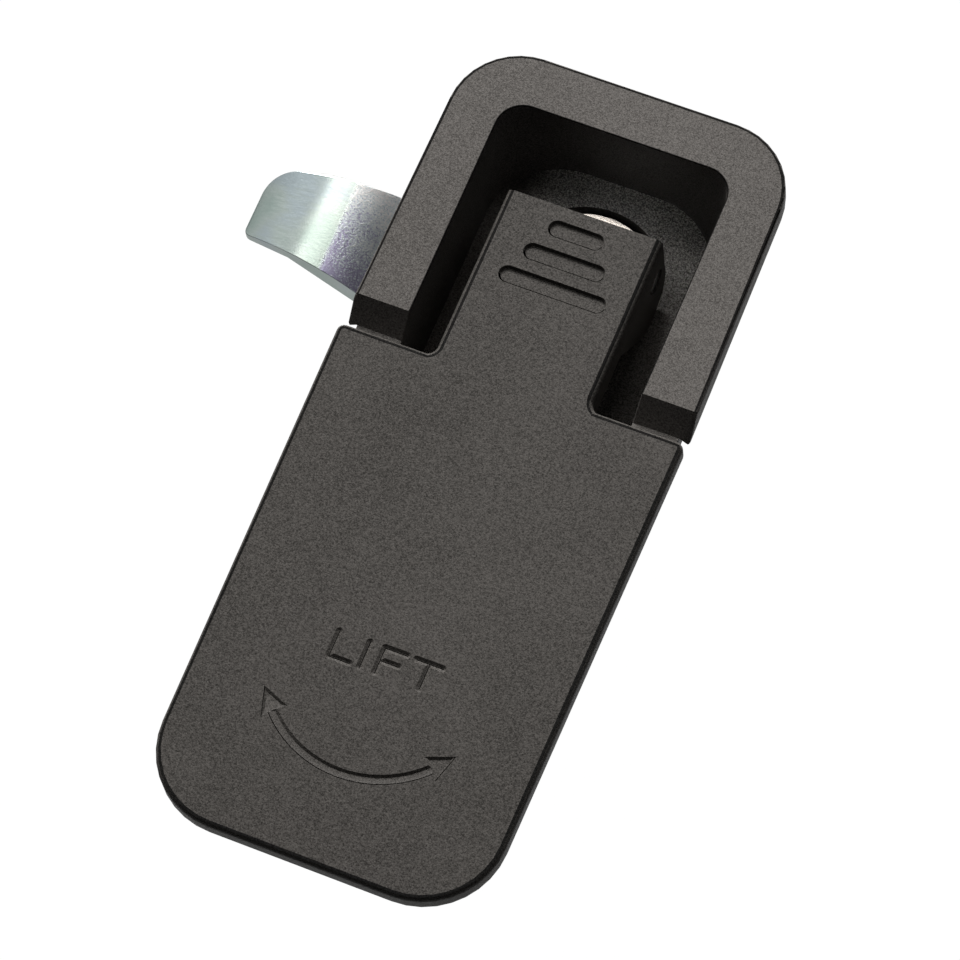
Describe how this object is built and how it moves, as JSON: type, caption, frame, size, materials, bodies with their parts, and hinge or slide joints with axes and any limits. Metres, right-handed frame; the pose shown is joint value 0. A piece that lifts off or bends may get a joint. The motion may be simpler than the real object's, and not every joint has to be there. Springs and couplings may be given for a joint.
{
  "type": "lift-and-turn compression latch",
  "caption": "Black recessed compression latch: a T-shaped lever in an open frame over a deep dish lifts and turns a spindle that swings a plated pawl behind the panel.",
  "frame": {"origin": "on the spindle axis, in the plane of the panel face that the gasket lies on", "axes": "+X across the latch, +Y along it from the handle towards the closed end of the frame, +Z out of the panel towards the user"},
  "size_m": [0.0692, 0.1089, 0.0386],
  "materials": {
    "black_casting": "fine textured powder coat",
    "black_handle": "fine textured powder coat",
    "zinc_plate": "zinc plated",
    "plain_steel": "turned",
    "spring_steel": "drawn wire",
    "black_rubber": "matte",
    "pale_plastic": "matte"
  },
  "bodies": {
    "housing": {"housing": "black_casting", "gasket": "black_rubber", "bush": "pale_plastic"},
    "collar": {"thrust_washer": "zinc_plate", "return_spring": "spring_steel"},
    "spindle": {"spindle": "plain_steel", "seal_ring": "black_rubber", "spring_seat": "zinc_plate", "pawl": "zinc_plate", "plain_washer": "zinc_plate", "lock_washer": "spring_steel", "pawl_nut": "zinc_plate"},
    "handle": {"handle": "black_handle", "cross_pin": "plain_steel"}
  },
  "joints": [
    {"name": "spindle_turn", "type": "hinge", "parent": "housing", "child": "collar", "pos_m": [0, 0, 0], "axis": [0, 0, 1], "range_deg": [0, 90]},
    {"name": "spindle_slide", "type": "slide", "parent": "collar", "child": "spindle", "axis": [0, 0, 1], "range_m": [-0.0036, 0], "deforming": ["return_spring"]},
    {"name": "handle_lift", "type": "hinge", "parent": "spindle", "child": "handle", "pos_m": [0, 0, 0.00065], "axis": [-1, 0, 0], "range_deg": [0, 80]}
  ],
  "couplings": [
    {"joint": "spindle_slide", "follows": "handle_lift", "m_per_rad": -0.002578},
    {"joint": "spindle_turn", "follows": "handle_lift", "ratio": 1.125}
  ]
}
